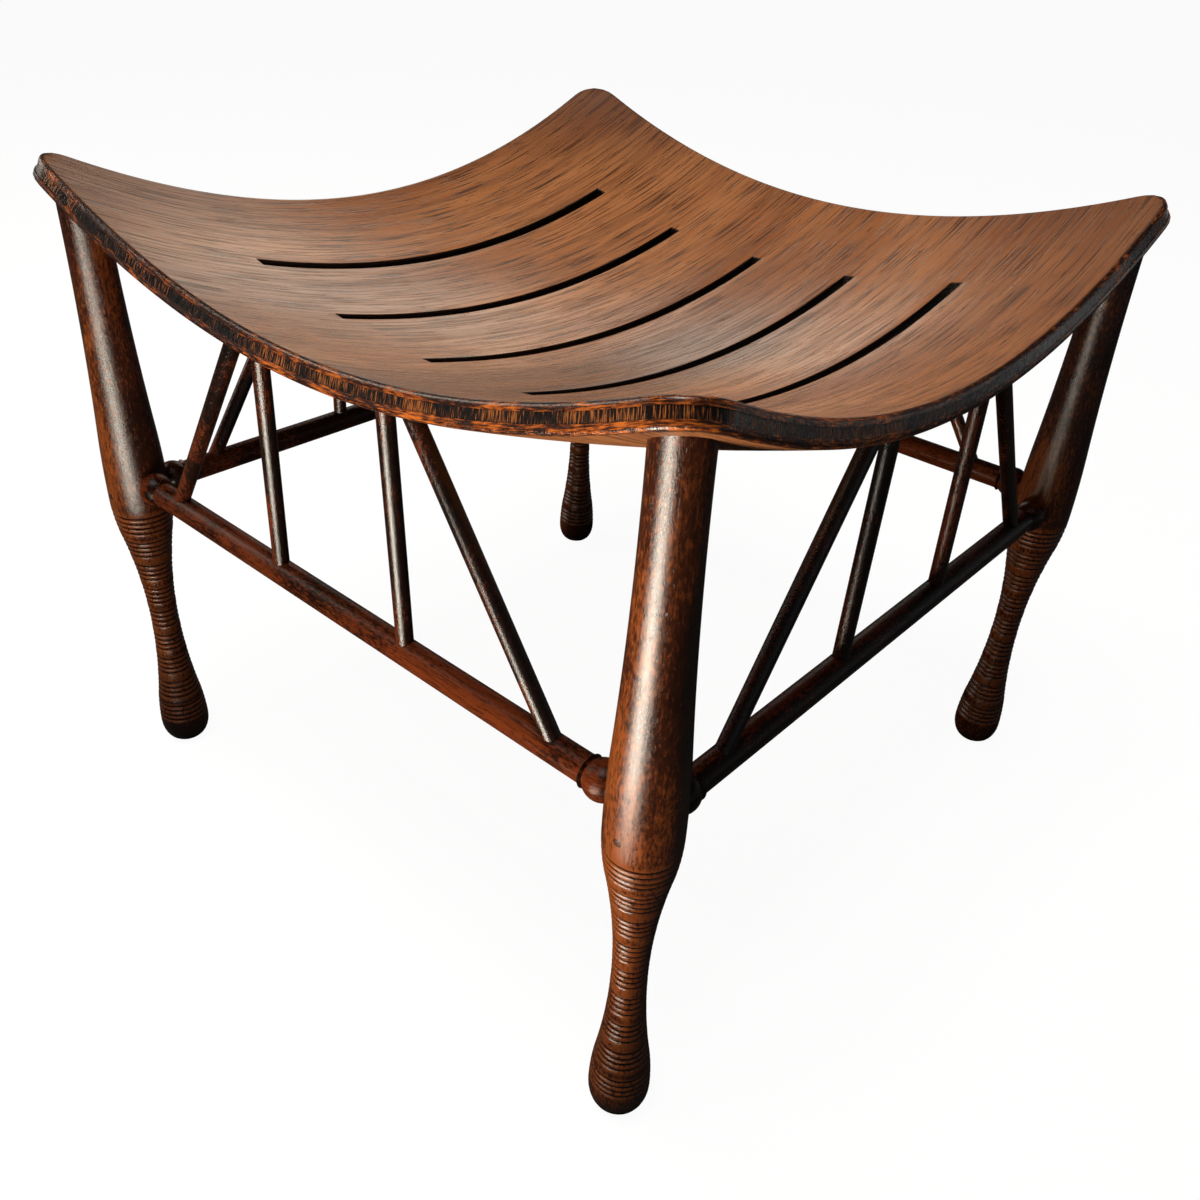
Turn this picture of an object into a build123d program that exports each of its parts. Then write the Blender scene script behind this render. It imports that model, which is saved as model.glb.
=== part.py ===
from build123d import *
import math
import os

# Stool with a dished seat of three bent plies, four turned legs, a round stretcher on each side
# and four spindles on each side that prop the seat off the stretcher.
# The origin is on the floor under the middle of the seat, +Z is up and the front faces -Y.
# All sizes are in millimetres.

# Plan of the stool
leg_spacing = 384.0
seat_overhang = 15.0
seat_corner_radius = 20.0

# Dish of the seat: the height of the middle of its top face, and how far the face rises from
# there to the middle of a side edge, to the middle of the front edge and to where they would meet
seat_height = 285.0
side_edge_rise = 34.7
front_edge_rise = 40.0
corner_rise = 87.3

# Plies of the seat, and the rounding of its upper and lower arrises
top_ply_thickness = 3.4
core_ply_thickness = 4.2
bottom_ply_thickness = 3.6
arris_radius = 2.0

# Slots through the seat, which run from front to back
slot_count = 5
slot_pitch = 65.0
slot_length = 265.0
slot_width = 6.0

# Stations of the leg's turned outline, from the floor up
foot_flat_radius = 7.0
bulb_radius = 14.7
bulb_height = 14.0
waist_radius = 8.2
waist_height = 95.0
knee_radius = 16.8
knee_height = 178.0
neck_radius = 11.2

# Where the two arcs between one station and the next meet, as shares of the way up
foot_share = 0.29
calf_share = 0.73
shaft_share = 0.25

# Rings turned into the lower leg, from below the knee down to above the bulb
ring_count = 9
ring_width = 4.0
ring_depth = 0.7
top_ring_drop = 9.0
low_ring_lift = 12.0

# Stretchers: the front and back ones stand a little higher than the side ones
front_stretcher_height = 190.5
side_stretcher_height = 183.5
rod_radius = 6.8
collar_radius = 7.9
collar_width = 2.4
bead_radius = 9.3
bead_inset = 5.4

# Spindles, plain rods in pairs: half the distance between the two of a pair where they meet the
# seat and on the stretcher's axis, and how far their ends go past that axis
spindle_radius = 4.1
upright_top = 44.0
upright_foot = 48.2
slanted_top = 63.2
slanted_foot = 144.6
spindle_sink = 1.5

# Tenons, and the pins driven through the legs into the ends of the stretchers' tenons
leg_tenon_radius = 6.0
stretcher_tenon_radius = 4.5
stretcher_tenon_length = 11.0
pin_radius = 2.0
glue_gap = 0.08

# Length left on a blank before it is cut to what it meets
trim_allowance = 30.0

# Sizes that follow from those above
leg_axis = leg_spacing / 2
seat_half = leg_axis + seat_overhang
core_top = top_ply_thickness
core_underside = core_top + core_ply_thickness
seat_underside = core_underside + bottom_ply_thickness


def dish_height(x, y):
    """Height of the seat's top face above the floor."""
    across = (x / seat_half) ** 2
    along = (y / seat_half) ** 2
    both = corner_rise - side_edge_rise - front_edge_rise
    return seat_height + side_edge_rise * across + front_edge_rise * along + both * across * along


neck_height = dish_height(leg_axis, leg_axis) - seat_underside
leg_stretches = (
    (bulb_height, bulb_radius, waist_height, waist_radius, foot_share),
    (waist_height, waist_radius, knee_height, knee_radius, calf_share),
    (knee_height, knee_radius, neck_height, neck_radius, shaft_share),
)


def leg_radius(height):
    """Radius of the leg's outline, which is upright at each station and has two arcs between."""
    for low, low_radius, high, high_radius, share in leg_stretches:
        if low <= height <= high:
            swell = high_radius - low_radius
            spread = ((high - low) ** 2 + swell ** 2) / (2 * swell)
            if height < low + share * (high - low):
                arc_radius = share * spread
                start, run, turn = low_radius, height - low, 1
            else:
                arc_radius = (1 - share) * spread
                start, run, turn = high_radius, high - height, -1
            sagitta = abs(arc_radius) - math.sqrt(arc_radius ** 2 - run ** 2)
            return start + turn * math.copysign(sagitta, swell)
    return bulb_radius if height < bulb_height else neck_radius


# Seat

def dish_face(half, depth):
    """Square of the dished surface a depth below the seat's top face, as one Bezier patch.

    The dish is quadratic in X and in Y. Over -1 to 1 a square has the control values 1, -1, 1,
    and a straight run has -1, 0, 1. The depth is measured square to the dish, so the patch hangs
    lower where the dish is steeper, at its edges and corners.
    """
    reach = half / seat_half
    both = corner_rise - side_edge_rise - front_edge_rise
    side_slope = 2 * side_edge_rise / seat_half
    front_slope = 2 * front_edge_rise / seat_half
    corner_slope = math.hypot(side_slope + 2 * both / seat_half, front_slope + 2 * both / seat_half)
    side_drop, front_drop, corner_drop = (
        depth * (math.hypot(1, slope) - 1) for slope in (side_slope, front_slope, corner_slope))
    across = (side_edge_rise - side_drop) * reach ** 2
    along = (front_edge_rise - front_drop) * reach ** 2
    both = (both - corner_drop + side_drop + front_drop) * reach ** 4
    squares = (1, -1, 1)
    runs = (-half, 0, half)
    rows = []
    for x, square_x in zip(runs, squares):
        row = []
        for y, square_y in zip(runs, squares):
            rise = across * square_x + along * square_y + both * square_x * square_y
            row.append((x, y, seat_height - depth + rise))
        rows.append(row)
    return Face.make_bezier_surface(rows)


def broad_faces(ply):
    """The lower and the upper broad face of a ply."""
    return ply.faces().sort_by(SortBy.AREA)[-2:].sort_by(Axis.Z)


def bent_plies():
    """Top, core and bottom ply, sliced from one blank whose edges are square to the dish."""
    plan = RectangleRounded(2 * seat_half, 2 * seat_half, seat_corner_radius)
    prism = extrude(plan, dish_height(seat_half, seat_half) + trim_allowance)
    walls = Shell(prism.faces().sort_by(Axis.Z)[1:-1])
    face = dish_face(seat_half + trim_allowance, 0).split(walls, keep=Keep.ALL).sort_by(SortBy.AREA)[-1]
    rest = Solid.thicken(face, seat_underside + trim_allowance, normal_override=(0, 0, -1))
    plies = []
    for depth in (core_top, core_underside, seat_underside):
        glue_line = dish_face(seat_half + 2 * trim_allowance, depth)
        rest, ply = rest.split(glue_line, keep=Keep.ALL).sort_by(Axis.Z)
        plies.append(ply)
    top, core, bottom = plies
    top = fillet(broad_faces(top)[1].edges(), arris_radius)
    bottom = fillet(broad_faces(bottom)[0].edges(), arris_radius)
    return top, core, bottom


def room_above(depth):
    """Everything above the surface that lies a depth below the seat's top face."""
    surface = dish_face(seat_half + trim_allowance, depth)
    return Solid.thicken(surface, corner_rise + trim_allowance, normal_override=(0, 0, 1))


def seat_slots():
    """Upright cutters for the slots."""
    tall = 2 * dish_height(seat_half, seat_half)
    middle = (slot_count - 1) / 2
    return [Pos(slot_pitch * (slot - middle), 0, 0) * Box(slot_width, slot_length, tall)
            for slot in range(slot_count)]


# Legs

def ringed_outline():
    """Points of the lower leg's outline, with V-shaped rings evenly spaced from bulb to knee."""
    low = bulb_height + low_ring_lift
    pitch = (knee_height - top_ring_drop - low) / (ring_count - 1)
    points = [(bulb_radius, bulb_height)]
    for ring in range(ring_count):
        middle = low + pitch * ring
        for side, depth in ((-1, 0), (0, ring_depth), (1, 0)):
            height = middle + side * ring_width / 2
            points.append((leg_radius(height) - depth, height))
    return points + [(knee_radius, knee_height)]


def leg_blank():
    """Leg turned about the Z axis, with its rings, and left long at the top."""
    foot = EllipticalCenterArc((foot_flat_radius, bulb_height), bulb_radius - foot_flat_radius,
                               bulb_height, -90, arc_size=90)
    calf = Polyline(*ringed_outline())
    knee = Vector(knee_radius, knee_height)
    neck = Vector(neck_radius, neck_height)
    meet = knee + (neck - knee) * shaft_share
    swell = TangentArc(knee, meet, tangent=(0, 1))
    taper = TangentArc(meet, neck, tangent=swell % 1)
    top = neck_height + trim_allowance
    rest = Polyline((neck_radius, neck_height), (neck_radius, top), (0, top), (0, 0), (foot_flat_radius, 0))
    profile = make_face(Curve() + [foot, calf, swell, taper, rest])
    return revolve(Plane.XZ * profile, Axis.Z)


# Stretchers, spindles and pins

def rod(start, end, radius):
    """Round bar between two points."""
    axis = Vector(*end) - Vector(*start)
    return extrude(Plane(origin=start, z_dir=axis) * Circle(radius), axis.length)


def stretcher_blank(height):
    """Round stretcher along X with a collar and a ball at each end, long enough to reach the legs."""
    ball = leg_axis - leg_radius(height) - bead_inset
    half_ball = math.sqrt(bead_radius ** 2 - rod_radius ** 2)
    collar_end = ball - half_ball
    collar = Polyline((0, rod_radius), (collar_end - collar_width, rod_radius),
                      (collar_end - collar_width / 2, collar_radius), (collar_end, rod_radius))
    bead = ThreePointArc((collar_end, rod_radius), (ball, bead_radius), (ball + half_ball, rod_radius))
    rest = Polyline((ball + half_ball, rod_radius), (leg_axis, rod_radius), (leg_axis, 0), (0, 0),
                    (0, rod_radius))
    half = revolve(make_face(Curve() + [collar, bead, rest]), Axis.X)
    return half + mirror(half, about=Plane.YZ)


class Side:
    """One side of the frame, seen with X along its stretcher and the origin in its middle.

    The height is the stretcher's, and the rim is the height of the seat's top face above it.
    """

    def __init__(self, place, height, rim, middle):
        self.place = place
        self.height = height
        self.seat_rise = rim - seat_underside - height
        self.middle = middle
        self.tenon_end = leg_axis - leg_radius(height) + stretcher_tenon_length
        self.outside = leg_axis + 2 * knee_radius

    def both_ends(self, piece):
        """A piece at the right-hand end of the side and its mirror image at the other end."""
        return [piece, mirror(piece, about=self.middle)]

    def bar(self, start, end, radius):
        """Round bar on the stretcher's axis between two distances from its middle."""
        return self.place * rod((start, 0, 0), (end, 0, 0), radius)

    def leg_sockets(self):
        """Cutters for the right-hand leg: the stretcher's tenon and, beyond it, the pin."""
        tenon = self.bar(self.tenon_end / 2, self.tenon_end, stretcher_tenon_radius + glue_gap)
        return [tenon, self.bar(self.tenon_end, self.outside, pin_radius + glue_gap)]

    def pin(self, leg):
        """Right-hand pin, from the tenon's end to the leg's outer face, where it ends flush."""
        return self.bar(self.tenon_end, self.outside, pin_radius).intersect(leg)[0]

    def spindle_rods(self, radius):
        """Upright and slanted rod of the right-hand end, from the stretcher to above the seat."""
        rise = dish_height(leg_axis, leg_axis) + trim_allowance - self.height
        rods = []
        for top, foot in ((upright_top, upright_foot), (slanted_top, slanted_foot)):
            run = (top - foot) / self.seat_rise
            start = (foot - run * spindle_sink, 0, -spindle_sink)
            rods.append(self.place * rod(start, (foot + run * rise, 0, rise), radius))
        return rods

    def stretcher(self, leg):
        """The stretcher, coped to both legs, with its tenons and its sockets."""
        coped = self.place * stretcher_blank(self.height) - self.both_ends(leg)
        sockets = []
        for cutter in self.spindle_rods(spindle_radius + glue_gap):
            sockets += self.both_ends(cutter)
        return coped + self.bar(-self.tenon_end, self.tenon_end, stretcher_tenon_radius) - sockets


# The stool, worked out for its right back quarter and mirrored

def quarters(piece):
    """A piece of the right back quarter and its mirror images, with each one's two directions."""
    left = mirror(piece, about=Plane.YZ)
    return [
        (piece, "right", "back"),
        (left, "left", "back"),
        (mirror(piece, about=Plane.XZ), "right", "front"),
        (mirror(left, about=Plane.XZ), "left", "front"),
    ]


def stool():
    """Every piece by its name."""
    above_bottom_ply = room_above(core_underside)
    above_core = room_above(core_top)
    turned = Pos(leg_axis, leg_axis, 0) * leg_blank()
    back = Side(Pos(0, leg_axis, front_stretcher_height), front_stretcher_height,
                dish_height(0, leg_axis), Plane.YZ)
    right = Side(Pos(leg_axis, 0, side_stretcher_height) * Rot(0, 0, 90), side_stretcher_height,
                 dish_height(leg_axis, 0), Plane.XZ)

    low = (leg_axis, leg_axis, neck_height - trim_allowance)
    high = (leg_axis, leg_axis, neck_height + trim_allowance)
    leg = turned - room_above(seat_underside) + (rod(low, high, leg_tenon_radius) - above_core)
    leg = leg - back.leg_sockets() - right.leg_sockets()
    pieces = {f"leg_{end}_{side}": copy for copy, side, end in quarters(leg)}

    leg_bores = [copy for copy, _, _ in quarters(rod(low, high, leg_tenon_radius + glue_gap))]
    spindle_bores = []
    for side in (back, right):
        for bore in side.spindle_rods(spindle_radius + glue_gap):
            spindle_bores += [copy for copy, _, _ in quarters(bore)]
    slots = seat_slots()
    top, core, bottom = bent_plies()
    pieces["seat_top_ply"] = top - slots
    pieces["seat_core_ply"] = core - slots - leg_bores
    pieces["seat_bottom_ply"] = bottom - slots - leg_bores - spindle_bores

    stretcher = back.stretcher(turned)
    pieces["stretcher_back"] = stretcher
    pieces["stretcher_front"] = mirror(stretcher, about=Plane.XZ)
    stretcher = right.stretcher(turned)
    pieces["stretcher_right"] = stretcher
    pieces["stretcher_left"] = mirror(stretcher, about=Plane.YZ)

    for copy, side, end in quarters(back.pin(turned)):
        pieces[f"pin_{end}_{side}"] = copy
    for copy, side, end in quarters(right.pin(turned)):
        pieces[f"pin_{side}_{end}"] = copy
    for kind, blank in zip(("upright", "slanted"), back.spindle_rods(spindle_radius)):
        for copy, side, end in quarters(blank - above_bottom_ply):
            pieces[f"spindle_{end}_{side}_{kind}"] = copy
    for kind, blank in zip(("upright", "slanted"), right.spindle_rods(spindle_radius)):
        for copy, side, end in quarters(blank - above_bottom_ply):
            pieces[f"spindle_{side}_{end}_{kind}"] = copy
    return pieces


os.makedirs("parts", exist_ok=True)
for name, piece in stool().items():
    export_step(piece, f"parts/{name}.step")
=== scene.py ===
import math
import random

import bpy
from mathutils import Matrix, Vector


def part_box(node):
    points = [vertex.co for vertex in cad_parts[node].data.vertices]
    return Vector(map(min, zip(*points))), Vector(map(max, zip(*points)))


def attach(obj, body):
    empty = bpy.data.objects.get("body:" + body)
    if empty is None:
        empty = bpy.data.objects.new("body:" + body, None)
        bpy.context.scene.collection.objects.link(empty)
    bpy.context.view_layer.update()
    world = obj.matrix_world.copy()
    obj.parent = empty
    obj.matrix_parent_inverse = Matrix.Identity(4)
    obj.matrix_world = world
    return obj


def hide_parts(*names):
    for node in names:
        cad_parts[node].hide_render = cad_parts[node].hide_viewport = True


# Looks of the dished stool: detailed seat plies, ringed legs, turned rods and their woods.
# Sizes are in metres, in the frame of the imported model: the origin is on the floor under the
# middle of the seat, +Z is up, the front faces -Y and the slots run along Y.

# Plan of the stool
leg_axis = 0.192
seat_half = 0.207
seat_corner_radius = 0.020

# Dish of the seat
seat_height = 0.285
side_edge_rise = 0.0347
front_edge_rise = 0.040
corner_rise = 0.0873

# Plies: how deep each one's lower face lies below the seat's top face, their rounded arrises and
# how far the core's edge lies back from the edges of the outer plies
top_ply_depth = 0.0034
core_ply_depth = 0.0076
seat_depth = 0.0112
arris_radius = 0.0020
slot_arris_radius = 0.0007
core_recess = 0.00025
edge_band = 0.0030

# Slots through the seat
slot_places = (-0.130, -0.065, 0, 0.065, 0.130)
slot_half_length = 0.1325
slot_half_width = 0.0030

# Grid of the seat's faces, and the width of the border in which the plies' edges lean outwards
grid_step = 0.006
arris_steps = 6
leaning_border = 0.040

# Leg's turned outline: radius and height of its stations, which share of each stretch its first arc
# takes, and how finely it is followed. Even steps nearer to a ring than a share of the step are left out.
foot_flat_radius = 0.007
bulb_radius = 0.0147
bulb_height = 0.014
waist_radius = 0.0082
waist_height = 0.095
knee_radius = 0.0168
knee_height = 0.178
neck_radius = 0.0112
foot_share = 0.29
calf_share = 0.73
shaft_share = 0.25
outline_step = 0.004
outline_crowding_share = 0.25
bulb_steps = 8
lathe_segments = 96

# Fine rings cut into the lower leg, in groups with a plain band between. Each one wanders a little
# up or down, and is cut to a depth between two shares of the full one.
ring_groups = 9
rings_per_group = 4
ring_pitch = 0.00333
group_pitch = 0.0175
first_ring_height = 0.171
ring_depth = 0.00085
ring_half_width = 0.00164
ring_steps = 4
ring_wander = 0.00018
ring_depth_shares = (0.8, 1.15)
ring_seed = 4

# Painted shadow: a dark line where a leg meets the seat, measured down from the leg's hidden top
top_shadow = 0.0045

# Ends of the pins: how far they stand proud of the leg, their rounded rim, and between which
# shares of a pin's length the dark joint round it shows
pin_proud = 0.00008
pin_rim = 0.0004
pin_joint_shares = (0.5, 0.99)

# Angle in degrees between two faces above which the edge between them is sharp
sharp_angle = 38.0

# Where things are seen from: the photograph's camera
camera_place = (0.37409, -0.44476, 0.48725)
camera_yaw = 40.1655
camera_pitch = 33.4285
camera_roll = 3.313
camera_lens = 32.677
camera_sensor = 36.0
camera_shift = (0.00326, 0.00599)

# Of the values for the woods, a noise is (scale, detail, roughness, distortion), a stretch is how
# many times it is drawn out along the grain, and a range is where a blend starts and where it is
# complete. A share is how far the blend goes.

# Turned wood: its noises
streak_stretch = 16
streak_noise = (1100, 3, 0.6, 0)
mottle_stretch = 2.4
mottle_noise = (760, 4, 0.6, 0)
patch_noise = (44, 4, 0.6, 0.2)
pore_stretch = 7
pore_noise = (2000, 2, 0.5, 0)
pitted_noise = (1900, 3, 0.6, 0)

# Turned wood: how worn it is, from mottle and patches, and what is added near the knees on all but
# the side that faces +X, partly rubbing by hands and partly painted light on the lit side
wear_mottle_share = 0.4
wear_patch_share = 0.6
middle_range = (0.38, 0.56)
rubbed_range = (0.51, 0.66)
knee_rubbed_and_lit_heights = (0.290, 0.200)
knee_rubbed_and_lit_wear = 0.07
lit_side_facing = (0.8, 0.0)
lit_side_share = 1.8

# Turned wood: painted shade, darkening the side that faces +X
shaded_facing = (0.45, 0.95)
shaded_share = 0.45

# Turned wood: marks in its polish, the grooves with the painted shadow at the top of each leg, and how
# rough and how pitted it is
spot_range = (0.58, 0.66)
spot_share = 0.25
streak_range = (0.50, 0.60)
streak_share = 0.5
pore_range = (0.62, 0.70)
pore_share = 0.7
ridge_mottle_range = (0.2, 0.55)
ridge_range = (0.2, 0.9)
ridge_share = 0.6
groove_and_shadow_range = (0.35, 0.85)
polish_range = (0.3, 0.7)
polish_roughness = (0.16, 0.24)
pore_relief_range = (0.6, 0.75)
pore_relief_share = -0.2
turned_relief = 0.00014

# Broad faces of the seat: their noises, along the grain
tone_stretch = 5
tone_noise = (16, 4, 0.55, 0.4)
figure_stretch = 22
figure_noise = (110, 3, 0.6, 0.3)
line_stretch = 60
line_noise = (360, 3, 0.6, 0)
vessel_stretch = 38
vessel_noise = (860, 2, 0.4, 0)
dash_stretch = 16
dash_noise = (1000, 1, 0.5, 0)
fleck_noise = (230, 1, 0.5, 0)

# Broad faces of the seat: the marks of the grain
tone_range = (0.36, 0.66)
figure_range = (0.46, 0.62)
figure_share = 0.28
line_range = (0.48, 0.62)
line_share = 0.36
vessel_range = (0.54, 0.63)
vessel_share = 0.66
dash_range = (0.64, 0.72)
dash_share = 0.7
fleck_range = (0.76, 0.80)
fleck_share = 0.8

# Broad faces of the seat: a darker band, and where its left side, right side and back end fade
band_left = (0.005, 0.035)
band_right = (0.110, 0.075)
band_end = (0.12, 0.00)
band_share = 0.52

# Broad faces of the seat: the darker, duller corners, by how far they are from the origin
corner_range = (0.36, 0.46)
corner_share = 0.55
corner_dullness = 0.14

# Broad faces of the seat: how rough the polish is and how deep the grain
face_range = (0.3, 0.7)
face_roughness = (0.22, 0.34)
vessel_relief_range = (0.55, 0.63)
line_relief_share = 0.3
seat_relief = 0.00010

# Edges of the plies: upright ticks, layers along the edge and gaps between strips of the core, here
# drawn out through the thickness, and their wear
tick_stretch = 12
tick_noise = (1900, 2, 0.5, 0)
layer_stretch = 0.12
layer_noise = (170, 4, 0.65, 0)
gap_stretch = 20
gap_noise = (330, 2, 0.5, 0)
gap_range = (0.35, 0.32)
gap_share = 0.95
edge_mottle_noise = (620, 3, 0.6, 0)
edge_patch_noise = (42, 3, 0.6, 0)
edge_grain_share = 0.6
edge_patch_share = 0.4
edge_middle_range = (0.49, 0.56)
edge_bright_range = (0.54, 0.63)
edge_bright_share = 0.85
tick_relief_range = (0.5, 0.7)
tick_relief_share = -0.7

# Corner of the seat whose edge is brightest, partly rubbed and partly painted light, how far that reaches
# and how much it adds
edge_rubbed_and_lit_corner = (0.200, -0.207, 0.362)
edge_rubbed_and_lit_reach = 0.26
edge_rubbed_and_lit_wear = 0.04

# Where a face turns into the edge, with the dark line beside it, and into a slot, whose inside has painted
# shade
wander_noise = (160, 3, 0.5, 0)
wander_share = 0.35
edge_range = (0.78, 0.90)
rim_range = (0.55, 0.80)
rim_share = 0.9
slot_shade_range = (0.76, 0.90)
slot_shade_share = 0.98
edge_roughness_share = 0.6

# Gloss of the woods
full_gloss = 0.5
side_stretcher_gloss = 0.3
front_stretcher_gloss = 0.12

# Floor: how far it reaches, its shade for the light and under the white that the camera sees, how
# bright that white is, and between which distances it begins to show in reflections
floor_reach = 12
floor_shade = 0.05
shadow_shade = 0.07
floor_glow = 0.95
far_floor = (4, 9)

# World: its colour, its strengths below and above two heights, and how high its white horizon is
sky_colour = (0.97, 0.98, 1, 1)
sky_heights = (0.1, 0.6)
sky_strengths = (0.09, 0.03)
white_horizon = 0.02

# Lamps: name, place, point that it faces, width, height, power in watts, colour
lamps = (
    ("front_reflector", (0.16, -0.98, 0.01), (0.16, -0.98, 1), 0.20, 1.00, 26, (1, 0.90, 0.75)),
    ("key", (-1.66, -0.60, 1.00), (0, 0, 0.25), 0.8, 0.8, 9, (1, 0.91, 0.78)),
    ("back_window", (-0.98, 0.98, 0.76), (0, 0, 0.3), 0.80, 0.42, 1.8, (1, 0.97, 0.82)),
    ("ceiling", (0.0, -0.62, 2.4), (0, 0, 0.25), 1.0, 1.0, 44, (1, 0.97, 0.92)),
)


def smooth(value):
    """Rises smoothly from 0 at 0 to 1 at 1."""
    value = min(max(value, 0), 1)
    return value * value * (3 - 2 * value)


def srgb(red, green, blue):
    """Colour for a shader from a screen's three values out of 255."""
    shares = [level / 255 for level in (red, green, blue)]
    linear = [share / 12.92 if share <= 0.04045 else ((share + 0.055) / 1.055) ** 2.4 for share in shares]
    return (*linear, 1)


# Tones of turned wood: dark, middle and rubbed, and its pores and grooves; the groove tone also paints the
# shadow at the top of each leg
leg_tones = (srgb(28, 11, 5), srgb(66, 29, 11), srgb(124, 64, 26))
rod_tones = (srgb(12, 5, 3), srgb(28, 11, 5), srgb(92, 40, 16))
pin_tones = (srgb(18, 8, 5), srgb(42, 18, 10), srgb(70, 34, 18))
pore_tone = srgb(12, 5, 3)
groove_and_shadow_tone = srgb(8, 4, 3)

# Tones of the seat's broad faces, and of the marks on them
face_tones = (srgb(148, 87, 47), srgb(180, 116, 70))
figure_tone = srgb(112, 59, 28)
line_tone = srgb(84, 43, 21)
vessel_tone = srgb(44, 21, 11)
dash_tone = srgb(26, 13, 9)
band_tone = srgb(66, 33, 16)
fleck_tone = srgb(30, 14, 8)
corner_tone = srgb(70, 37, 20)

# Tones of the plies' edges: bright, middle and dark, and what lies in and beside them, with the painted
# shade inside the slots
outer_edge_tones = (srgb(172, 90, 25), srgb(94, 43, 14), srgb(34, 15, 7))
core_edge_tones = (srgb(138, 80, 34), srgb(44, 21, 9), srgb(8, 4, 2))
gap_tone = srgb(6, 3, 2)
rim_tone = srgb(30, 14, 8)
slot_shade_tone = srgb(8, 4, 3)


# Meshes

def new_piece(name, vertices, faces, replaced):
    """Smooth mesh that rides on the frame and stands for CAD nodes."""
    mesh = bpy.data.meshes.new(name)
    mesh.from_pydata(vertices, [], faces)
    mesh.validate()
    mesh.shade_smooth()
    mesh.set_sharp_from_angle(angle=math.radians(sharp_angle))
    piece = bpy.data.objects.new(name, mesh)
    bpy.context.scene.collection.objects.link(piece)
    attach(piece, "root")
    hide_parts(*replaced)
    return piece


def add_values(piece, name, values):
    """Keeps a value for each vertex, for the materials to read."""
    attribute = piece.data.attributes.new(name, "FLOAT", "POINT")
    attribute.data.foreach_set("value", values)


# Seat

def dish_height(x, y):
    across = (x / seat_half) ** 2
    along = (y / seat_half) ** 2
    both = corner_rise - side_edge_rise - front_edge_rise
    return seat_height + side_edge_rise * across + front_edge_rise * along + both * across * along


def dish_slopes(x, y):
    """Slope of the dish along X and along Y."""
    across = (x / seat_half) ** 2
    along = (y / seat_half) ** 2
    both = corner_rise - side_edge_rise - front_edge_rise
    slope_x = 2 * x / seat_half ** 2 * (side_edge_rise + both * along)
    slope_y = 2 * y / seat_half ** 2 * (front_edge_rise + both * across)
    return slope_x, slope_y


def edge_distance(x, y, half):
    """Distance from the seat's outer edge."""
    start = half - seat_corner_radius
    over_x = abs(x) - start
    over_y = abs(y) - start
    if over_x > 0 and over_y > 0:
        return seat_corner_radius - math.hypot(over_x, over_y)
    return seat_corner_radius - max(over_x, over_y)


def slot_distance(x, y):
    """Distance from the nearest slot."""
    past_end = max(abs(y) - slot_half_length, 0)
    return min(math.hypot(max(abs(x - place) - slot_half_width, 0), past_end) for place in slot_places)


def below_dish(x, y, depth):
    """Point a depth below the top face: straight down inside, square to the dish at the outer edge."""
    slope_x, slope_y = dish_slopes(x, y)
    steepness = math.sqrt(1 + slope_x ** 2 + slope_y ** 2)
    lean = smooth(1 - edge_distance(x, y, seat_half) / leaning_border)
    down = Vector((slope_x, slope_y, -1)) / steepness * lean + Vector((0, 0, -steepness)) * (1 - lean)
    return Vector((x, y, dish_height(x, y))) + down * depth


def rounded_off(distance, radius):
    """How far a rounded arris lies below its face, a distance in from the edge."""
    if distance >= radius:
        return 0
    return radius - math.sqrt(radius ** 2 - (radius - max(distance, 0)) ** 2)


def arris_offsets(radius):
    """Distances from an edge that follow its arris in even turns."""
    return [radius * (1 - math.cos(math.pi / 2 * step / arris_steps)) for step in range(arris_steps + 1)]


def spaced(places):
    """The places in order, with more between them so that no gap is wider than the grid step."""
    ordered = sorted(set(places))
    filled = ordered[:1]
    for start, end in zip(ordered, ordered[1:]):
        count = math.ceil((end - start) / grid_step)
        filled += [start + (end - start) * (part + 1) / count for part in range(count)]
    return filled


def grid_lines(half):
    """Grid lines of a ply along X and along Y, close together at the edges and at the slots."""
    border = [half - offset for offset in arris_offsets(arris_radius)]
    border += [half - seat_corner_radius, half - edge_band]
    around = arris_offsets(slot_arris_radius)
    across = [side * place for side in (-1, 1) for place in border]
    along = list(across)
    for side in (-1, 1):
        across += [place + side * (slot_half_width + offset) for place in slot_places for offset in around]
        along += [side * (slot_half_length + offset) for offset in around]
    return spaced(across), spaced(along)


def bent_to_plan(x, y, half):
    """Moves the grid's square corners onto the rounded ones."""
    start = half - seat_corner_radius
    u = (abs(x) - start) / seat_corner_radius
    v = (abs(y) - start) / seat_corner_radius
    if u <= 0 or v <= 0:
        return x, y
    bent_x = start + seat_corner_radius * u * math.sqrt(1 - v * v / 2)
    bent_y = start + seat_corner_radius * v * math.sqrt(1 - u * u / 2)
    return math.copysign(bent_x, x), math.copysign(bent_y, y)


def in_slot(x, y):
    return abs(y) < slot_half_length and any(abs(x - place) < slot_half_width for place in slot_places)


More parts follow.
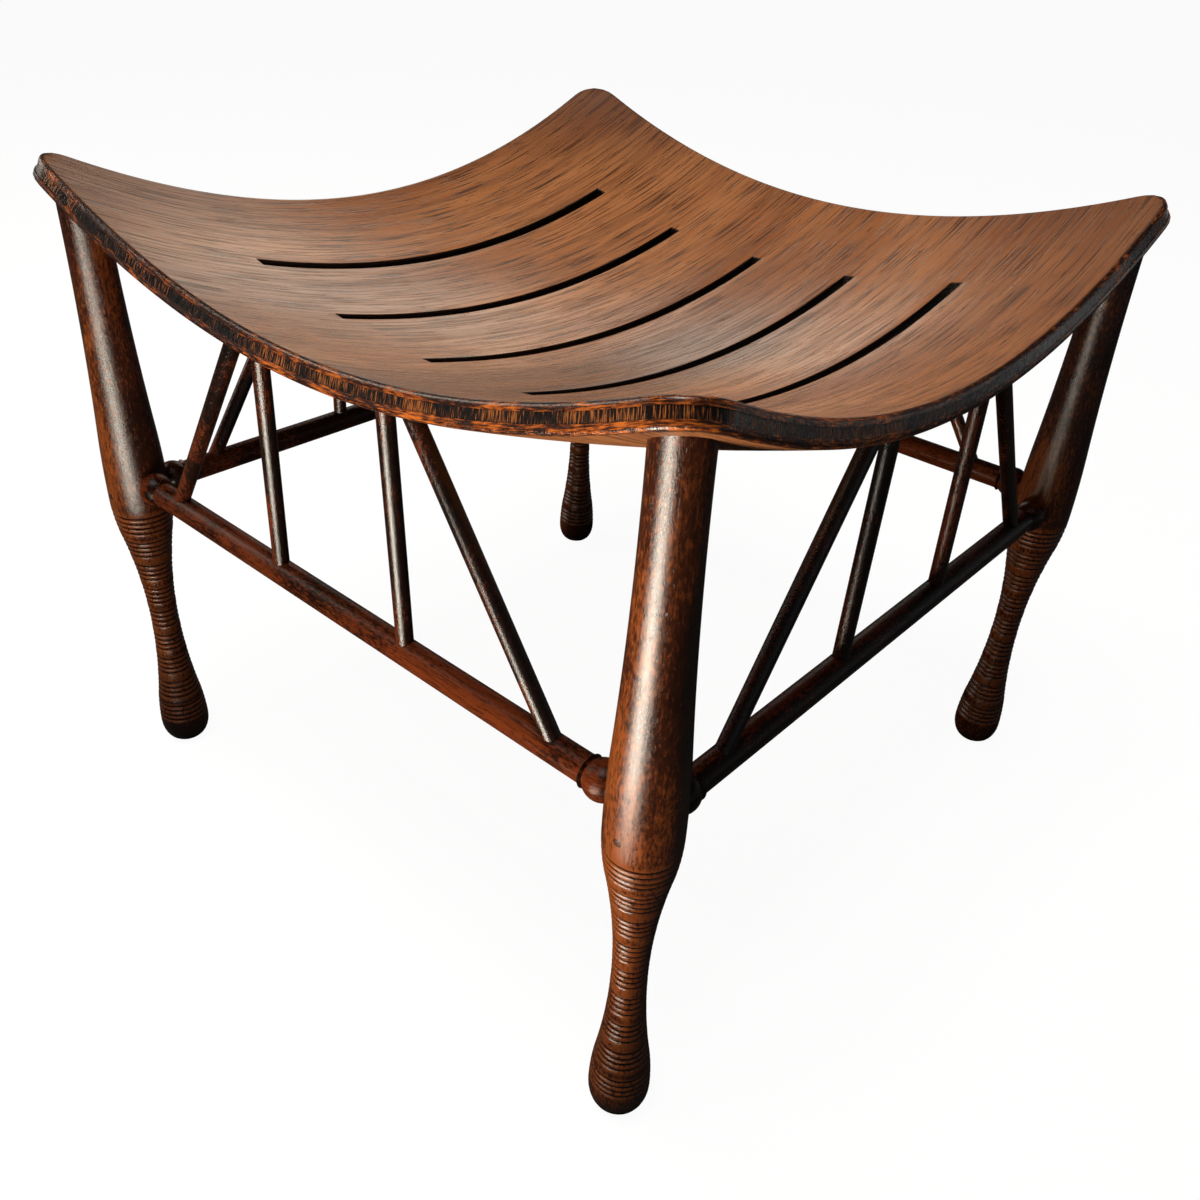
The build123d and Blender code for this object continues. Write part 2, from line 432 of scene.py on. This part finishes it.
def ply(name, upper, lower, upper_arris, lower_arris, recess, node):
    """One ply of the seat between two depths, with its slots and its rounded arrises."""
    half = seat_half - recess
    across, along = grid_lines(half)
    columns, rows = len(across), len(along)
    vertices, edge_values, slot_values, flat_places = [], [], [], []
    for depth, arris, turn in ((upper, upper_arris, 1), (lower, lower_arris, -1)):
        for x in across:
            for y in along:
                px, py = bent_to_plan(x, y, half)
                inside = edge_distance(px, py, half)
                beside = slot_distance(px, py)
                drop = rounded_off(inside, arris)
                if arris:
                    drop += rounded_off(beside, slot_arris_radius)
                vertices.append(below_dish(px, py, depth + turn * drop))
                flat_places.append((px, py, depth + turn * drop))
                edge_values.append(max(0, 1 - inside / edge_band))
                slot_values.append(max(0, 1 - beside / edge_band))
    layer = columns * rows

    def corner(column, row, level):
        return level * layer + column * rows + row

    def kept(column, row):
        if not (0 <= column < columns - 1 and 0 <= row < rows - 1):
            return False
        return not in_slot((across[column] + across[column + 1]) / 2, (along[row] + along[row + 1]) / 2)

    faces = []
    for column in range(columns - 1):
        for row in range(rows - 1):
            if not kept(column, row):
                continue
            ring = ((column, row), (column + 1, row), (column + 1, row + 1), (column, row + 1))
            faces.append([corner(c, r, 0) for c, r in ring])
            faces.append([corner(c, r, 1) for c, r in reversed(ring)])
            beyond = ((column, row - 1), (column + 1, row), (column, row + 1), (column - 1, row))
            for side, neighbour in enumerate(beyond):
                if not kept(*neighbour):
                    a, b = ring[side], ring[(side + 1) % 4]
                    faces.append([corner(*b, 0), corner(*a, 0), corner(*a, 1), corner(*b, 1)])
    used = sorted({index for face in faces for index in face})
    renumbered = {old: new for new, old in enumerate(used)}
    faces = [[renumbered[index] for index in face] for face in faces]
    piece = new_piece(name, [vertices[index] for index in used], faces, [node])
    add_values(piece, "edge", [edge_values[index] for index in used])
    add_values(piece, "slot_edge", [slot_values[index] for index in used])
    for number, value_name in enumerate(("flat_x", "flat_y", "flat_depth")):
        add_values(piece, value_name, [flat_places[index][number] for index in used])
    return piece


# Turned pieces

def leg_radius(height):
    """Radius of the leg's outline, which is upright at each station and has two arcs between."""
    neck_height = dish_height(leg_axis, leg_axis) - seat_depth
    stretches = (
        (bulb_height, bulb_radius, waist_height, waist_radius, foot_share),
        (waist_height, waist_radius, knee_height, knee_radius, calf_share),
        (knee_height, knee_radius, neck_height, neck_radius, shaft_share),
    )
    for low, low_radius, high, high_radius, share in stretches:
        if low <= height <= high:
            swell = high_radius - low_radius
            spread = ((high - low) ** 2 + swell ** 2) / (2 * swell)
            if height < low + share * (high - low):
                arc_radius = share * spread
                start, run, turn = low_radius, height - low, 1
            else:
                arc_radius = (1 - share) * spread
                start, run, turn = high_radius, high - height, -1
            sagitta = abs(arc_radius) - math.sqrt(arc_radius ** 2 - run ** 2)
            return start + turn * math.copysign(sagitta, swell)
    return bulb_radius if height < bulb_height else neck_radius


def lathe(stations, place, along):
    """Vertices and faces of a solid turned about an axis, from (distance, radius) stations."""
    axis = Vector(along).normalized()
    turn = Vector((0, 0, 1)).rotation_difference(axis)
    vertices, faces = [], []
    for distance, radius in stations:
        for segment in range(lathe_segments):
            angle = 2 * math.pi * segment / lathe_segments
            point = Vector((radius * math.cos(angle), radius * math.sin(angle), distance))
            vertices.append(turn @ point + Vector(place))
    for station in range(len(stations) - 1):
        low, high = station * lathe_segments, (station + 1) * lathe_segments
        for segment in range(lathe_segments):
            following = (segment + 1) % lathe_segments
            faces.append([low + segment, low + following, high + following, high + segment])
    faces.append(list(reversed(range(lathe_segments))))
    last = (len(stations) - 1) * lathe_segments
    faces.append(list(range(last, last + lathe_segments)))
    return vertices, faces


def ring_heights(chance):
    """Heights of the fine rings of one leg, each a little off its even place."""
    heights = []
    for group in range(ring_groups):
        for ring in range(rings_per_group):
            even = first_ring_height - group * group_pitch - ring * ring_pitch
            heights.append(even + chance.uniform(-ring_wander, ring_wander))
    return heights


def leg_stations(chance):
    """Stations (height, radius, groove, ridge) of one leg.

    Groove is 1 at the bottom of a ring and ridge is 1 at its rims, which are rubbed. Both are 0 on
    the plain wood.
    """
    stations = []
    for step in range(bulb_steps + 1):
        angle = math.pi / 2 * step / bulb_steps
        height = bulb_height * (1 - math.cos(angle))
        radius = foot_flat_radius + (bulb_radius - foot_flat_radius) * math.sin(angle)
        stations.append((height, radius, 0, 0))
    for height in ring_heights(chance):
        depth = ring_depth * chance.uniform(*ring_depth_shares)
        for step in range(-ring_steps, ring_steps + 1):
            share = step / ring_steps
            cut = (1 - abs(share)) ** 2
            level = height + share * ring_half_width
            stations.append((level, leg_radius(level) - depth * cut, cut, 1 - cut))
    ringed = [level for level, *_ in stations]
    top = dish_height(seat_half, seat_half)
    count = round((top - bulb_height) / outline_step)
    for step in range(1, count + 1):
        level = bulb_height + (top - bulb_height) * step / count
        if min(abs(level - other) for other in ringed) > outline_step * outline_crowding_share:
            stations.append((level, leg_radius(level), 0, 0))
    return sorted(stations)


def leg(end, side, chance):
    """One leg with its fine rings and a painted shadow under the seat, its top cut to the seat's
    underside.
    """
    x = leg_axis if side == "right" else -leg_axis
    y = leg_axis if end == "back" else -leg_axis
    stations = leg_stations(chance)
    vertices, faces = lathe([station[:2] for station in stations], (x, y, 0), (0, 0, 1))
    for vertex in vertices:
        vertex.z = min(vertex.z, below_dish(vertex.x, vertex.y, seat_depth - arris_radius).z)
    piece = new_piece(f"ringed_leg_{end}_{side}", vertices, faces, [f"leg_{end}_{side}"])
    grooves = [station[2] for station in stations for _ in range(lathe_segments)]
    # Painted shadow at the leg's top, where it meets the seat, kept with the grooves and given their tone
    tops = [below_dish(x, y, seat_depth - arris_radius).z - z for x, y, z in vertices]
    grooves = [max(groove, smooth(1 - top / top_shadow)) for groove, top in zip(grooves, tops)]
    add_values(piece, "groove", grooves)
    add_values(piece, "ridge", [station[3] for station in stations for _ in range(lathe_segments)])
    return piece


def pin(name):
    """One pin through a leg, from inside it to just proud of its outer face."""
    low, high = (Vector(corner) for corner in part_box(name))
    size = high - low
    along = max(range(3), key=lambda axis: size[axis])
    across = min(range(3), key=lambda axis: size[axis])
    middle = (low + high) / 2
    outward = Vector((0, 0, 0))
    outward[along] = math.copysign(1, middle[along])
    start = middle - outward * size[along] / 2
    length = size[along] + pin_proud
    radius = size[across] / 2
    stations = [(0, radius), (length - pin_rim, radius)]
    for step in range(1, arris_steps + 1):
        angle = math.pi / 2 * step / arris_steps
        drop = pin_rim * (1 - math.sin(angle))
        stations.append((length - drop, radius - pin_rim * (1 - math.cos(angle))))
    vertices, faces = lathe(stations, start, outward)
    piece = new_piece(f"turned_{name}", vertices, faces, [name])
    joint_start, joint_end = pin_joint_shares
    reach = [(vertex - start).dot(outward) / length for vertex in vertices]
    add_values(piece, "groove", [1 if joint_start < share < joint_end else 0 for share in reach])
    return piece


# Materials

class Nodes:
    """Node tree whose nodes are added by short calls."""

    def __init__(self, tree):
        self.tree = tree
        self.tree.nodes.clear()

    def add(self, kind, **settings):
        node = self.tree.nodes.new(kind)
        for name, value in settings.items():
            setattr(node, name, value)
        return node

    def feed(self, socket, value):
        """Links a socket to another node's output, or sets its value."""
        if isinstance(value, bpy.types.NodeSocket):
            self.tree.links.new(value, socket)
        else:
            socket.default_value = value

    def noise(self, place, scale, detail, roughness, distortion):
        node = self.add("ShaderNodeTexNoise")
        self.feed(node.inputs["Vector"], place)
        node.inputs["Scale"].default_value = scale
        node.inputs["Detail"].default_value = detail
        node.inputs["Roughness"].default_value = roughness
        node.inputs["Distortion"].default_value = distortion
        return node.outputs["Fac"]

    def between(self, value, low, high, start=0, end=1):
        """Rises smoothly from start to end while the value goes from low to high."""
        node = self.add("ShaderNodeMapRange", interpolation_type="SMOOTHSTEP")
        for name, number in (("Value", value), ("From Min", low), ("From Max", high),
                             ("To Min", start), ("To Max", end)):
            self.feed(node.inputs[name], number)
        return node.outputs["Result"]

    def maths(self, operation, first, second=0):
        node = self.add("ShaderNodeMath", operation=operation)
        self.feed(node.inputs[0], first)
        self.feed(node.inputs[1], second)
        return node.outputs["Value"]

    def part_of(self, vector, letter):
        """One of the three parts of a vector."""
        node = self.add("ShaderNodeSeparateXYZ")
        self.feed(node.inputs["Vector"], vector)
        return node.outputs[letter]

    def distance(self, vector, place=(0, 0, 0)):
        """How far a point is from a place."""
        node = self.add("ShaderNodeVectorMath", operation="DISTANCE")
        self.feed(node.inputs[0], vector)
        self.feed(node.inputs[1], place)
        return node.outputs["Value"]

    def seen_white(self, reflected):
        """1 where a ray is to see white: from the camera, through glass, and a share of reflections."""
        path = self.add("ShaderNodeLightPath")
        through = self.maths("MAXIMUM", path.outputs["Is Camera Ray"], path.outputs["Is Transmission Ray"])
        mirrored = self.maths("MULTIPLY", path.outputs["Is Glossy Ray"], reflected)
        return self.maths("MAXIMUM", through, mirrored)

    def pick(self, share, first, second, output_kind):
        """Ends the tree in a mix of two shaders."""
        mixed = self.add("ShaderNodeMixShader")
        self.feed(mixed.inputs["Fac"], share)
        self.feed(mixed.inputs[1], first)
        self.feed(mixed.inputs[2], second)
        self.feed(self.add(output_kind).inputs["Surface"], mixed.outputs["Shader"])


class Wood(Nodes):
    """Material of one kind of wood."""

    def __init__(self, name):
        self.material = bpy.data.materials.new(name)
        self.material.use_nodes = True
        super().__init__(self.material.node_tree)
        self.place = self.add("ShaderNodeTexCoord").outputs["Object"]

    def along(self, axis, stretch):
        """Coordinates in which the wood runs along an axis and is stretched that many times."""
        node = self.add("ShaderNodeMapping", vector_type="TEXTURE")
        self.feed(node.inputs["Vector"], self.place)
        turn = Vector((0, 0, 1)).rotation_difference(Vector(axis).normalized())
        node.inputs["Rotation"].default_value = turn.to_euler()
        node.inputs["Scale"].default_value = (1, 1, stretch)
        return node.outputs["Vector"]

    def unbent(self, stretch_y, stretch_depth):
        """Coordinates of the seat before it was bent, stretched that many times along two of its axes."""
        node = self.add("ShaderNodeCombineXYZ")
        self.feed(node.inputs["X"], self.value("flat_x"))
        self.feed(node.inputs["Y"], self.maths("DIVIDE", self.value("flat_y"), stretch_y))
        self.feed(node.inputs["Z"], self.maths("DIVIDE", self.value("flat_depth"), stretch_depth))
        return node.outputs["Vector"]

    def blend(self, share, first, second):
        node = self.add("ShaderNodeMix", data_type="RGBA")
        self.feed(node.inputs["Factor"], share)
        self.feed(node.inputs["A"], first)
        self.feed(node.inputs["B"], second)
        return node.outputs["Result"]

    def value(self, name):
        """Value kept for each vertex of a piece, 0 where the piece has none."""
        return self.add("ShaderNodeAttribute", attribute_name=name).outputs["Fac"]

    def bump(self, height, distance):
        node = self.add("ShaderNodeBump")
        self.feed(node.inputs["Height"], height)
        node.inputs["Distance"].default_value = distance
        node.inputs["Strength"].default_value = 1
        return node.outputs["Normal"]

    def finish(self, colour, roughness, normal, gloss):
        shader = self.add("ShaderNodeBsdfPrincipled")
        self.feed(shader.inputs["Base Color"], colour)
        self.feed(shader.inputs["Roughness"], roughness)
        self.feed(shader.inputs["Normal"], normal)
        shader.inputs["Specular IOR Level"].default_value = gloss
        output = self.add("ShaderNodeOutputMaterial")
        self.feed(output.inputs["Surface"], shader.outputs["BSDF"])
        return self.material


def turned_wear_and_lit_side(wood, mottle, patches, height, facing):
    """How worn the polish is, with a lighter tone near the knees except on the side that faces +X, partly
    rubbing and partly painted light.
    """
    knee_rubbed_and_lit = wood.between(height, *knee_rubbed_and_lit_heights, 0, knee_rubbed_and_lit_wear)
    knee_rubbed_and_lit = wood.maths("MULTIPLY", knee_rubbed_and_lit, wood.between(height, waist_height, knee_height))
    # Painted light: the knees' lighter tone goes only on the sides that do not face +X
    knee_rubbed_and_lit = wood.maths("MULTIPLY", knee_rubbed_and_lit, wood.between(facing, *lit_side_facing, 0, lit_side_share))
    wear = wood.maths("ADD", wood.maths("MULTIPLY", mottle, wear_mottle_share),
                      wood.maths("MULTIPLY", patches, wear_patch_share))
    return wood.maths("ADD", wear, knee_rubbed_and_lit)


def turned_wood(name, axis, tones, gloss):
    """Dark stained and polished wood, rubbed through in places, with painted light on the knees' lit side
    and painted shade on the side that faces +X; tones run from dark to rubbed.
    """
    dark, middle, rubbed = tones
    wood = Wood(name)
    streaks = wood.noise(wood.along(axis, streak_stretch), *streak_noise)
    mottle = wood.noise(wood.along(axis, mottle_stretch), *mottle_noise)
    patches = wood.noise(wood.along(axis, mottle_stretch), *patch_noise)
    pores = wood.noise(wood.along(axis, pore_stretch), *pore_noise)
    pitted = wood.noise(wood.place, *pitted_noise)
    height = wood.part_of(wood.place, "Z")
    facing = wood.part_of(wood.add("ShaderNodeTexCoord").outputs["Normal"], "X")
    wear = turned_wear_and_lit_side(wood, mottle, patches, height, facing)
    above_rings = wood.between(height, first_ring_height, knee_height)
    spots = wood.maths("MULTIPLY", wood.between(mottle, *spot_range, 0, spot_share), above_rings)
    lines = wood.maths("MULTIPLY", wood.between(streaks, *streak_range, 0, streak_share), above_rings)
    dots = wood.maths("MULTIPLY", wood.between(pores, *pore_range, 0, pore_share), above_rings)
    ridge = wood.maths("MULTIPLY", wood.value("ridge"), wood.between(mottle, *ridge_mottle_range))
    colour = wood.blend(wood.between(wear, *middle_range), dark, middle)
    colour = wood.blend(wood.between(wear, *rubbed_range), colour, rubbed)
    colour = wood.blend(spots, colour, rubbed)
    colour = wood.blend(lines, colour, dark)
    colour = wood.blend(dots, colour, pore_tone)
    colour = wood.blend(wood.between(ridge, *ridge_range, 0, ridge_share), colour, rubbed)
    # Grooves, dark joints round the pins, and the painted shadow at the top of each leg
    colour = wood.blend(wood.between(wood.value("groove"), *groove_and_shadow_range), colour, groove_and_shadow_tone)
    # Painted shade: darker on the side that faces +X
    colour = wood.blend(wood.between(facing, *shaded_facing, 0, shaded_share), colour, dark)
    roughness = wood.between(mottle, *polish_range, *polish_roughness)
    relief = wood.maths("ADD", pitted, wood.between(pores, *pore_relief_range, 0, pore_relief_share))
    return wood.finish(colour, roughness, wood.bump(relief, turned_relief), gloss)


def seat_face(wood):
    """Colour, roughness and relief of the seat's broad faces, with the grain along Y."""
    tone = wood.noise(wood.unbent(tone_stretch, 1), *tone_noise)
    figure = wood.noise(wood.unbent(figure_stretch, 1), *figure_noise)
    lines = wood.noise(wood.unbent(line_stretch, 1), *line_noise)
    vessels = wood.noise(wood.unbent(vessel_stretch, 1), *vessel_noise)
    dashes = wood.noise(wood.unbent(dash_stretch, 1), *dash_noise)
    flecks = wood.noise(wood.unbent(1, 1), *fleck_noise)
    corner = wood.between(wood.distance(wood.place), *corner_range)
    band = wood.maths("MULTIPLY", wood.between(wood.value("flat_x"), *band_left),
                      wood.between(wood.value("flat_x"), *band_right))
    band = wood.maths("MULTIPLY", band, wood.between(wood.value("flat_y"), *band_end, 0, band_share))
    colour = wood.blend(wood.between(tone, *tone_range), *face_tones)
    colour = wood.blend(wood.between(figure, *figure_range, 0, figure_share), colour, figure_tone)
    colour = wood.blend(wood.between(lines, *line_range, 0, line_share), colour, line_tone)
    colour = wood.blend(wood.between(vessels, *vessel_range, 0, vessel_share), colour, vessel_tone)
    colour = wood.blend(wood.between(dashes, *dash_range, 0, dash_share), colour, dash_tone)
    colour = wood.blend(band, colour, band_tone)
    colour = wood.blend(wood.between(flecks, *fleck_range, 0, fleck_share), colour, fleck_tone)
    colour = wood.blend(wood.maths("MULTIPLY", corner, corner_share), colour, corner_tone)
    roughness = wood.maths("ADD", wood.between(lines, *face_range, *face_roughness),
                           wood.maths("MULTIPLY", corner, corner_dullness))
    relief = wood.maths("ADD", wood.between(vessels, *vessel_relief_range, 0, -1),
                        wood.maths("MULTIPLY", lines, line_relief_share))
    return colour, roughness, relief


def ply_edge(wood, tones, end_grain):
    """Colour and relief of a ply's worn edge: upright ticks of end grain, or layers along the edge,
    lighter towards one corner by wear and painted light.
    """
    bright, middle, dark = tones
    ticks = wood.noise(wood.unbent(1, tick_stretch), *tick_noise)
    layers = wood.noise(wood.unbent(1, layer_stretch), *layer_noise)
    mottle = wood.noise(wood.place, *edge_mottle_noise)
    patches = wood.noise(wood.place, *edge_patch_noise)
    # Lighter towards the front corner: partly rubbing, partly painted light
    rubbed = wood.between(wood.distance(wood.place, edge_rubbed_and_lit_corner), edge_rubbed_and_lit_reach, 0, 0, edge_rubbed_and_lit_wear)
    grain = wood.maths("MULTIPLY", ticks if end_grain else layers, edge_grain_share)
    wear = wood.maths("ADD", grain, rubbed)
    wear = wood.maths("ADD", wear, wood.maths("MULTIPLY", patches, edge_patch_share))
    colour = wood.blend(wood.between(wear, *edge_middle_range), dark, middle)
    colour = wood.blend(wood.between(wear, *edge_bright_range, 0, edge_bright_share), colour, bright)
    if end_grain:
        gaps = wood.noise(wood.unbent(1, gap_stretch), *gap_noise)
        colour = wood.blend(wood.between(gaps, *gap_range, 0, gap_share), colour, gap_tone)
    relief = wood.maths("ADD", mottle, wood.between(ticks, *tick_relief_range, 0, tick_relief_share))
    return colour, relief


def ply_wood(name, tones, end_grain):
    """Wood of one ply: the satin face inside, the dark, worn edge outside and painted shade inside the
    slots.
    """
    wood = Wood(name)
    colour, roughness, face_relief = seat_face(wood)
    edge_colour, edge_relief = ply_edge(wood, tones, end_grain)
    wander = wood.maths("MULTIPLY", wood.noise(wood.place, *wander_noise), wander_share)
    rim = wood.maths("ADD", wood.value("edge"), wander)
    on_edge = wood.between(rim, *edge_range)
    # Painted shade inside the slots and on their arrises
    slot_shade = wood.between(wood.value("slot_edge"), *slot_shade_range, 0, slot_shade_share)
    colour = wood.blend(wood.between(rim, *rim_range, 0, rim_share), colour, rim_tone)
    colour = wood.blend(on_edge, colour, edge_colour)
    colour = wood.blend(slot_shade, colour, slot_shade_tone)
    relief = wood.blend(on_edge, face_relief, edge_relief)
    roughness = wood.maths("MULTIPLY", roughness, wood.between(on_edge, 0, 1, 1, edge_roughness_share))
    return wood.finish(colour, roughness, wood.bump(relief, seat_relief), full_gloss)


# Stage

def floor_material():
    """Pale floor: white for the camera and in far reflections, so that only the shadow shows on it."""
    material = bpy.data.materials.new("pale_floor")
    material.use_nodes = True
    stage = Nodes(material.node_tree)
    plain = stage.add("ShaderNodeBsdfDiffuse")
    plain.inputs["Color"].default_value = (floor_shade, floor_shade, floor_shade, 1)
    matte = stage.add("ShaderNodeBsdfDiffuse")
    matte.inputs["Color"].default_value = (shadow_shade, shadow_shade, shadow_shade, 1)
    glow = stage.add("ShaderNodeEmission")
    glow.inputs["Strength"].default_value = floor_glow
    lifted = stage.add("ShaderNodeAddShader")
    stage.feed(lifted.inputs[0], matte.outputs["BSDF"])
    stage.feed(lifted.inputs[1], glow.outputs["Emission"])
    distance = stage.distance(stage.add("ShaderNodeTexCoord").outputs["Object"])
    seen = stage.seen_white(stage.between(distance, *far_floor))
    stage.pick(seen, plain.outputs["BSDF"], lifted.outputs["Shader"], "ShaderNodeOutputMaterial")
    return material


def make_floor():
    corners = [(x * floor_reach, y * floor_reach, 0) for x, y in ((-1, -1), (1, -1), (1, 1), (-1, 1))]
    mesh = bpy.data.meshes.new("floor")
    mesh.from_pydata(corners, [], [(0, 1, 2, 3)])
    floor = bpy.data.objects.new("floor", mesh)
    bpy.context.scene.collection.objects.link(floor)
    floor.data.materials.append(floor_material())


def make_world():
    """Soft light, paler near the horizon than above, and white for the camera."""
    world = bpy.data.worlds.new("studio")
    bpy.context.scene.world = world
    world.use_nodes = True
    stage = Nodes(world.node_tree)
    height = stage.part_of(stage.add("ShaderNodeTexCoord").outputs["Generated"], "Z")
    soft = stage.add("ShaderNodeBackground")
    soft.inputs["Color"].default_value = sky_colour
    stage.feed(soft.inputs["Strength"], stage.between(height, *sky_heights, *sky_strengths))
    white = stage.add("ShaderNodeBackground")
    seen = stage.seen_white(stage.between(height, 0, white_horizon, 1, 0))
    stage.pick(seen, soft.outputs["Background"], white.outputs["Background"], "ShaderNodeOutputWorld")


def make_lamp(name, place, target, width, height, power, colour):
    data = bpy.data.lights.new(name, "AREA")
    data.shape = "RECTANGLE"
    data.size = width
    data.size_y = height
    data.energy = power
    data.color = colour
    lamp = bpy.data.objects.new(name, data)
    lamp.location = place
    lamp.rotation_euler = (Vector(target) - Vector(place)).to_track_quat("-Z", "Y").to_euler()
    lamp.visible_camera = False
    bpy.context.scene.collection.objects.link(lamp)


def make_camera():
    """The photograph's camera, turned to the left and down and rolled about its view."""
    yaw, pitch, roll = (math.radians(angle) for angle in (camera_yaw, camera_pitch, camera_roll))
    ahead = Vector((-math.sin(yaw) * math.cos(pitch), math.cos(yaw) * math.cos(pitch), -math.sin(pitch)))
    right = ahead.cross(Vector((0, 0, 1))).normalized()
    up = right.cross(ahead)
    rolled_right = right * math.cos(roll) + up * math.sin(roll)
    rolled_up = up * math.cos(roll) - right * math.sin(roll)
    data = bpy.data.cameras.new("camera")
    data.lens = camera_lens
    data.sensor_width = camera_sensor
    data.shift_x, data.shift_y = camera_shift
    camera = bpy.data.objects.new("camera", data)
    turned = Matrix((rolled_right, rolled_up, -ahead)).transposed().to_4x4()
    camera.matrix_world = Matrix.Translation(camera_place) @ turned
    bpy.context.scene.collection.objects.link(camera)
    bpy.context.scene.camera = camera


# The stool

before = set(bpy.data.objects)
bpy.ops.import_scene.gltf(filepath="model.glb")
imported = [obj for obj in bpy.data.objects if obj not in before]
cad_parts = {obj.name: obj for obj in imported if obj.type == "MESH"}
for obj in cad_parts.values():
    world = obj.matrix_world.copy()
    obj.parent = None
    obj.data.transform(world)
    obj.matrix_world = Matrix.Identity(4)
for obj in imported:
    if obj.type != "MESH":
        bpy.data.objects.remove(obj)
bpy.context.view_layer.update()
bpy.context.scene.view_settings.view_transform = "Standard"

plies = (
    ply("top_ply", 0, top_ply_depth, arris_radius, 0, 0, "seat_top_ply"),
    ply("core_ply", top_ply_depth, core_ply_depth, 0, 0, core_recess, "seat_core_ply"),
    ply("bottom_ply", core_ply_depth, seat_depth, 0, arris_radius, 0, "seat_bottom_ply"),
)
outer = ply_wood("outer_ply_wood", outer_edge_tones, False)
core = ply_wood("core_ply_wood", core_edge_tones, True)
for piece, material in zip(plies, (outer, core, outer)):
    piece.data.materials.append(material)

leg_wood = turned_wood("leg_wood", (0, 0, 1), leg_tones, full_gloss)
spindle_wood = turned_wood("spindle_wood", (0, 0, 1), rod_tones, full_gloss)
side_wood = turned_wood("side_stretcher_wood", (0, 1, 0), rod_tones, side_stretcher_gloss)
front_wood = turned_wood("front_stretcher_wood", (1, 0, 0), rod_tones, front_stretcher_gloss)
pin_wood = turned_wood("pin_wood", (0, 0, 1), pin_tones, full_gloss)
chance = random.Random(ring_seed)
for end in ("front", "back"):
    for side in ("left", "right"):
        leg(end, side, chance).data.materials.append(leg_wood)
for name in [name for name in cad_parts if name.startswith("pin_")]:
    pin(name).data.materials.append(pin_wood)

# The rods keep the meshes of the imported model
stretcher_woods = {
    "stretcher_front": front_wood,
    "stretcher_back": front_wood,
    "stretcher_left": side_wood,
    "stretcher_right": side_wood,
}
for name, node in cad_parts.items():
    if not node.hide_render:
        node.data.materials.clear()
        node.data.materials.append(stretcher_woods.get(name, spindle_wood))

make_floor()
make_world()
for lamp in lamps:
    make_lamp(*lamp)
make_camera()
